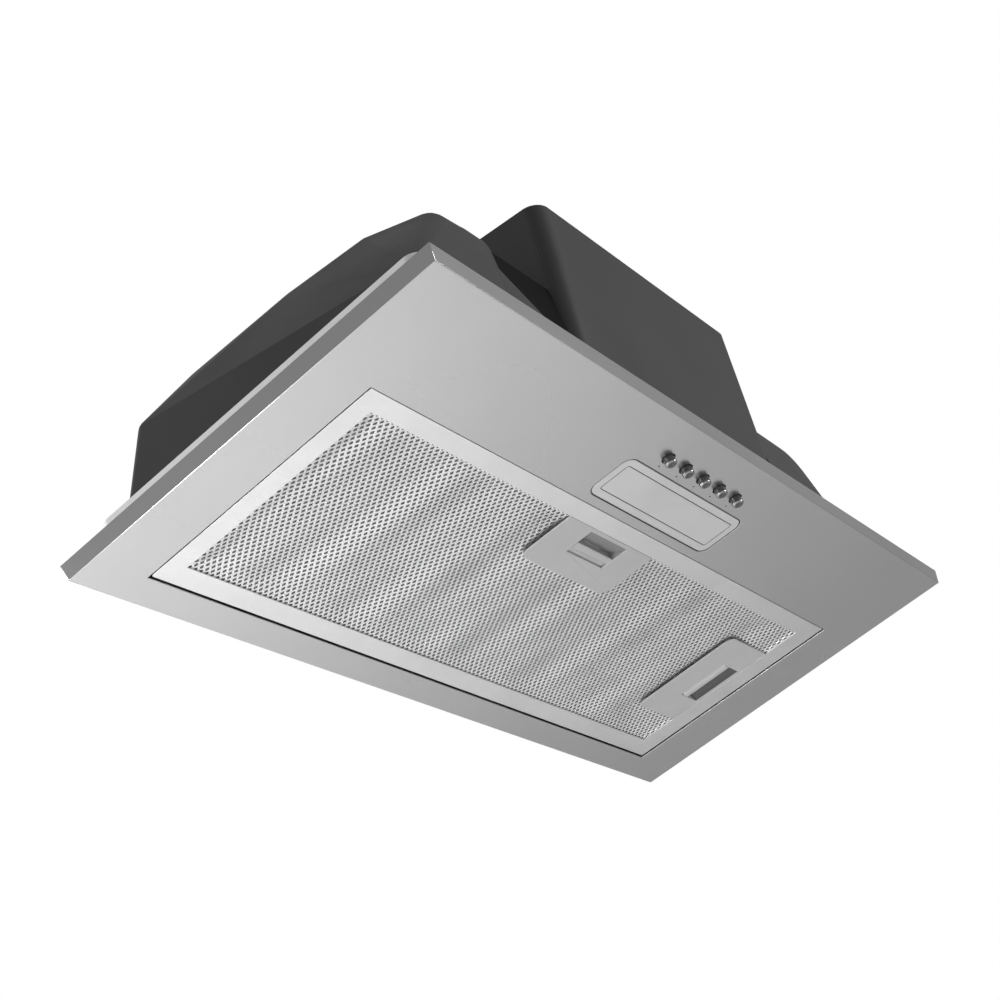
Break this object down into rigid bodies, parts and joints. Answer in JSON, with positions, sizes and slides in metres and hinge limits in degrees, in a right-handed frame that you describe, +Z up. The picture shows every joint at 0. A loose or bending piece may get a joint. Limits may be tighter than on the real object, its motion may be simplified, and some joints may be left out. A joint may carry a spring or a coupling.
{
  "type": "range hood insert",
  "caption": "Built-in range hood insert: steel face panel with a hinged mesh grease filter, lamp and push buttons, under a dark moulded housing with a leaning blower box and round duct outlet.",
  "frame": {"origin": "middle of the rim's seat plane, where the insert meets the underside of the cabinet", "axes": "+X along the panel's long side, -Y towards the side with the push buttons, +Z up towards the duct outlet"},
  "size_m": [0.602, 0.284, 0.2552],
  "materials": {
    "panel_steel": "fine satin",
    "grey_sheet": "grey sheet metal",
    "black_moulding": "smooth black moulding",
    "motor_paint": "dark enamel",
    "dark_plastic": "dark plastic",
    "fan_plastic": "light plastic",
    "flap_aluminium": "thin plate",
    "white_plastic": "moulded case",
    "board": "white lacquered board",
    "cover_paint": "silver grey",
    "chromed": "polished",
    "spring_wire": "wire",
    "filter_band": "bright band",
    "mesh_aluminium": "expanded metal",
    "latch_grey": "satin grey",
    "zinc_steel": "plated"
  },
  "bodies": {
    "hood": {"face_panel": "panel_steel", "chassis_frame": "grey_sheet", "lower_housing": "black_moulding", "blower_housing": "black_moulding", "volute": "black_moulding", "inlet_guard": "zinc_steel", "motor_bracket": "grey_sheet", "motor_can": "motor_paint", "duct_collar": "black_moulding", "flap_rod": "zinc_steel", "wiring_box": "black_moulding", "wiring_lid": "black_moulding", "capacitor": "white_plastic", "cable_gland": "dark_plastic", "lamp_housing": "grey_sheet", "lamp_board": "board", "lamp_cover": "cover_paint", "switch_bank": "dark_plastic", "spring_1": "spring_wire", "spring_2": "spring_wire", "spring_3": "spring_wire", "spring_4": "spring_wire", "spring_5": "spring_wire", "pivot_pins": "zinc_steel", "chassis_screws": "zinc_steel", "box_screws": "zinc_steel", "bracket_screws": "zinc_steel", "collar_screws": "zinc_steel"},
    "filter": {"filter_frame": "filter_band", "mesh_lower": "mesh_aluminium", "mesh_core": "mesh_aluminium", "mesh_upper": "mesh_aluminium", "latch_cup_front": "latch_grey", "latch_cup_side": "latch_grey", "latch_spring_front": "spring_wire", "latch_spring_side": "spring_wire"},
    "latch_front": {"latch_front": "latch_grey"},
    "latch_side": {"latch_side": "latch_grey"},
    "wheel": {"wheel": "fan_plastic", "wheel_shaft": "zinc_steel", "wheel_nut": "zinc_steel"},
    "flap_front": {"flap_front": "flap_aluminium", "knuckles_front": "flap_aluminium"},
    "flap_rear": {"flap_rear": "flap_aluminium", "knuckles_rear": "flap_aluminium"},
    "button_1": {"button_1": "chromed"},
    "button_2": {"button_2": "chromed"},
    "button_3": {"button_3": "chromed"},
    "button_4": {"button_4": "chromed"},
    "button_5": {"button_5": "chromed"}
  },
  "joints": [
    {"name": "filter_swing", "type": "hinge", "parent": "hood", "child": "filter", "pos_m": [-0.00175, 0.113, -0.007], "axis": [1, 0, 0], "range_deg": [0, 80]},
    {"name": "latch_front_slide", "type": "slide", "parent": "filter", "child": "latch_front", "axis": [0, 1, 0], "range_m": [0, 0.003], "stiffness_N_per_m": 120, "springref_m": -0.004, "deforming": ["latch_spring_front"]},
    {"name": "latch_side_slide", "type": "slide", "parent": "filter", "child": "latch_side", "axis": [-1, 0, 0], "range_m": [0, 0.003], "stiffness_N_per_m": 120, "springref_m": -0.004, "deforming": ["latch_spring_side"]},
    {"name": "fan_spin", "type": "hinge", "parent": "hood", "child": "wheel", "pos_m": [-0.011, -0.04275, 0.14987], "axis": [0, -0.1392, 0.9903], "continuous": true},
    {"name": "flap_front_swing", "type": "hinge", "parent": "hood", "child": "flap_front", "pos_m": [0.08, -0.04825, 0.2109], "axis": [-1, 0, 0], "range_deg": [0, 75]},
    {"name": "flap_rear_swing", "type": "hinge", "parent": "hood", "child": "flap_rear", "pos_m": [0.08, -0.04825, 0.2109], "axis": [1, 0, 0], "range_deg": [0, 75]},
    {"name": "button_1_press", "type": "slide", "parent": "hood", "child": "button_1", "axis": [0, 0, 1], "range_m": [0, 0.0026], "stiffness_N_per_m": 250, "springref_m": -0.002, "deforming": ["spring_1"]},
    {"name": "button_2_press", "type": "slide", "parent": "hood", "child": "button_2", "axis": [0, 0, 1], "range_m": [0, 0.0026], "stiffness_N_per_m": 250, "springref_m": -0.002, "deforming": ["spring_2"]},
    {"name": "button_3_press", "type": "slide", "parent": "hood", "child": "button_3", "axis": [0, 0, 1], "range_m": [0, 0.0026], "stiffness_N_per_m": 250, "springref_m": -0.002, "deforming": ["spring_3"]},
    {"name": "button_4_press", "type": "slide", "parent": "hood", "child": "button_4", "axis": [0, 0, 1], "range_m": [0, 0.0026], "stiffness_N_per_m": 250, "springref_m": -0.002, "deforming": ["spring_4"]},
    {"name": "button_5_press", "type": "slide", "parent": "hood", "child": "button_5", "axis": [0, 0, 1], "range_m": [0, 0.0026], "stiffness_N_per_m": 250, "springref_m": -0.002, "deforming": ["spring_5"]}
  ]
}
